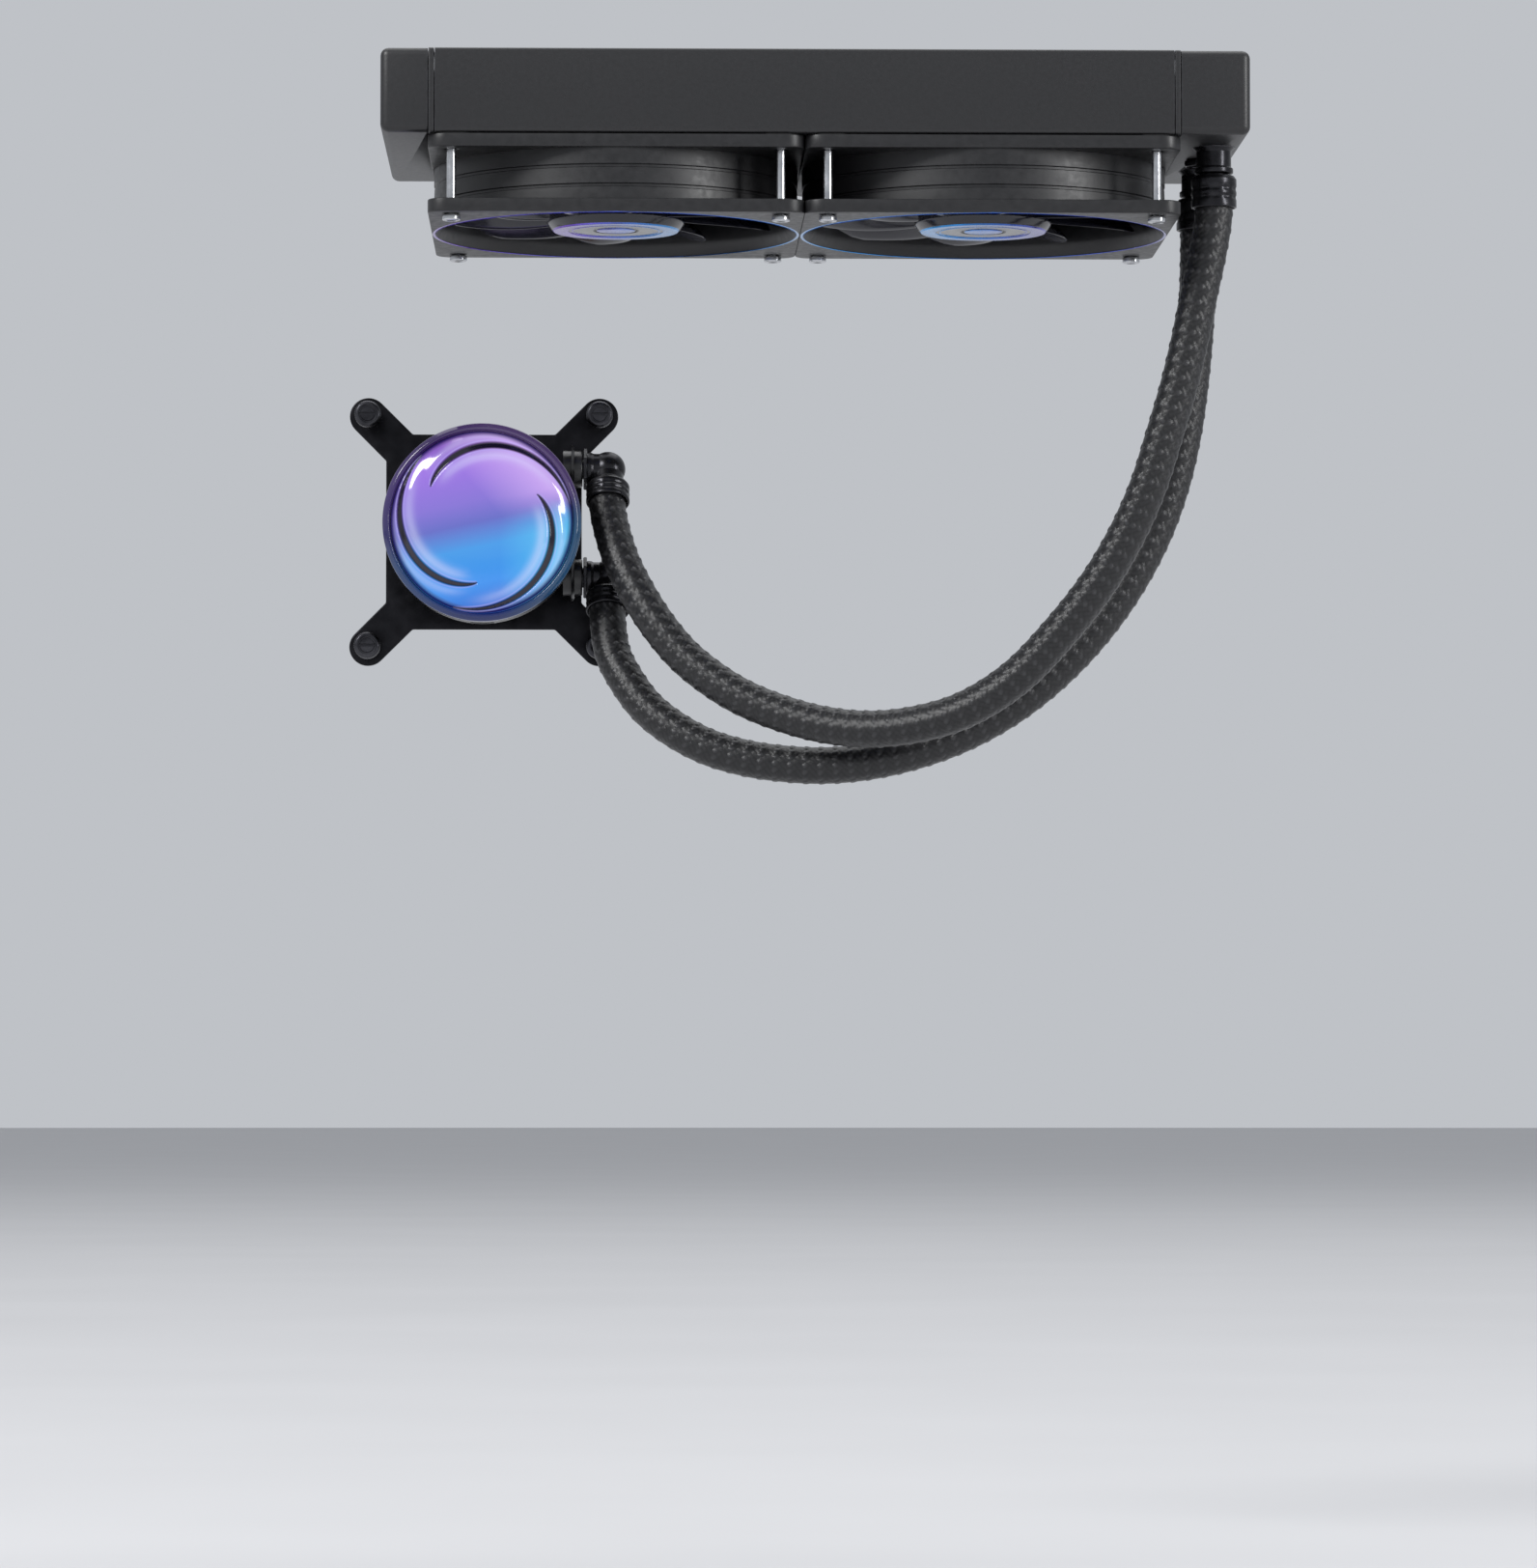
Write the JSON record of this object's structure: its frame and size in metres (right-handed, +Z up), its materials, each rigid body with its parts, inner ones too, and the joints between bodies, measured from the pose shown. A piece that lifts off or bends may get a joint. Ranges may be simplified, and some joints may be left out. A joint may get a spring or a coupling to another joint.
{
  "type": "liquid cooling radiator",
  "caption": "Slim radiator with fans below it, joined by braided hoses to a round pump head with a lit swirl cap, a cold plate and a sprung mounting bracket.",
  "frame": {"origin": "centre of the fan-screw pattern on the radiator's top mounting plane", "axes": "+X along the radiator towards the tank with the hose ports, +Y towards the circuit board behind the cold plate, +Z up out of the radiator's top"},
  "size_m": [0.2915, 0.152, 0.2302],
  "materials": {
    "radiator_core": "thin black paint over aluminium",
    "radiator_shell": "fine-textured black powder coat",
    "fitting_metal": "satin black",
    "hose_sleeve": "black braided nylon sleeve",
    "fan_frame": "fine-textured black",
    "fan_blades": "smooth dark plastic",
    "ferrite": "matt",
    "bright_steel": "bright zinc plate",
    "bearing_bronze": "sintered",
    "winding": "enamelled copper wire",
    "copper": "milled copper",
    "seal_rubber": "matt",
    "pump_plastic": "semi-gloss black",
    "ceramic": "smooth",
    "dark_steel": "black nickel",
    "circuit_board": "solder mask",
    "light_guide": "diffusing, lit violet to cyan",
    "clear_cap": "clear gloss",
    "rim_tint": "tinted gloss",
    "bracket_steel": "black satin"
  },
  "bodies": {
    "chassis": {"radiator_core": "radiator_core", "header_plate_left": "radiator_shell", "header_plate_right": "radiator_shell", "end_tank_left": "radiator_shell", "end_tank_right": "radiator_shell", "side_frame_front": "radiator_shell", "side_frame_back": "radiator_shell", "fill_plug": "fitting_metal", "port_front": "fitting_metal", "port_back": "fitting_metal", "hose_collar_front": "fitting_metal", "hose_collar_back": "fitting_metal", "hose_upper": "hose_sleeve", "hose_lower": "hose_sleeve", "fan_left_frame": "fan_frame", "fan_left_screw_1": "bright_steel", "fan_left_screw_2": "bright_steel", "fan_left_screw_3": "bright_steel", "fan_left_screw_4": "bright_steel", "fan_left_bearing": "bearing_bronze", "fan_left_stator": "winding", "fan_right_frame": "fan_frame", "fan_right_screw_1": "bright_steel", "fan_right_screw_2": "bright_steel", "fan_right_screw_3": "bright_steel", "fan_right_screw_4": "bright_steel", "fan_right_bearing": "bearing_bronze", "fan_right_stator": "winding", "cold_plate": "copper", "cold_plate_seal": "seal_rubber", "pump_base": "pump_plastic", "pump_shell": "pump_plastic", "pump_shaft": "ceramic", "rotor_can": "dark_steel", "pump_stator": "winding", "pump_board": "circuit_board", "light_guide": "light_guide", "dome_cover": "clear_cap", "rim_ring": "rim_tint", "retention_bracket": "bracket_steel", "spring_1": "bright_steel", "spring_2": "bright_steel", "spring_3": "bright_steel", "spring_4": "bright_steel"},
    "rotor_left": {"fan_left_rotor": "fan_blades", "fan_left_magnet_ring": "ferrite", "fan_left_shaft": "bright_steel"},
    "rotor_right": {"fan_right_rotor": "fan_blades", "fan_right_magnet_ring": "ferrite", "fan_right_shaft": "bright_steel"},
    "impeller_set": {"impeller": "ceramic", "impeller_magnet": "ferrite"},
    "swivel_upper": {"elbow_upper": "fitting_metal", "elbow_collar_upper": "fitting_metal"},
    "swivel_lower": {"elbow_lower": "fitting_metal", "elbow_collar_lower": "fitting_metal"},
    "nut_1": {"thumb_screw_1": "dark_steel"},
    "nut_2": {"thumb_screw_2": "dark_steel"},
    "nut_3": {"thumb_screw_3": "dark_steel"},
    "nut_4": {"thumb_screw_4": "dark_steel"}
  },
  "joints": [
    {"name": "fan_left_spin", "type": "hinge", "parent": "chassis", "child": "rotor_left", "pos_m": [-0.06, 0, -0.04], "axis": [0, 0, 1], "continuous": true},
    {"name": "fan_right_spin", "type": "hinge", "parent": "chassis", "child": "rotor_right", "pos_m": [0.06, 0, -0.04], "axis": [0, 0, 1], "continuous": true},
    {"name": "impeller_spin", "type": "hinge", "parent": "chassis", "child": "impeller_set", "pos_m": [-0.1043, 0.08, -0.1427], "axis": [0, 1, 0], "continuous": true},
    {"name": "elbow_upper_swivel", "type": "hinge", "parent": "chassis", "child": "swivel_upper", "pos_m": [-0.0625, 0.069, -0.1225], "axis": [1, 0, 0], "range_deg": [-12, 3], "deforming": ["hose_upper"]},
    {"name": "elbow_lower_swivel", "type": "hinge", "parent": "chassis", "child": "swivel_lower", "pos_m": [-0.0625, 0.069, -0.159], "axis": [1, 0, 0], "range_deg": [-12, 3], "deforming": ["hose_lower"]},
    {"name": "thumb_screw_1_slide", "type": "slide", "parent": "chassis", "child": "nut_1", "axis": [0, -1, 0], "range_m": [0, 0.004], "deforming": ["spring_1"]},
    {"name": "thumb_screw_2_slide", "type": "slide", "parent": "chassis", "child": "nut_2", "axis": [0, -1, 0], "range_m": [0, 0.004], "deforming": ["spring_2"]},
    {"name": "thumb_screw_3_slide", "type": "slide", "parent": "chassis", "child": "nut_3", "axis": [0, -1, 0], "range_m": [0, 0.004], "deforming": ["spring_3"]},
    {"name": "thumb_screw_4_slide", "type": "slide", "parent": "chassis", "child": "nut_4", "axis": [0, -1, 0], "range_m": [0, 0.004], "deforming": ["spring_4"]}
  ]
}
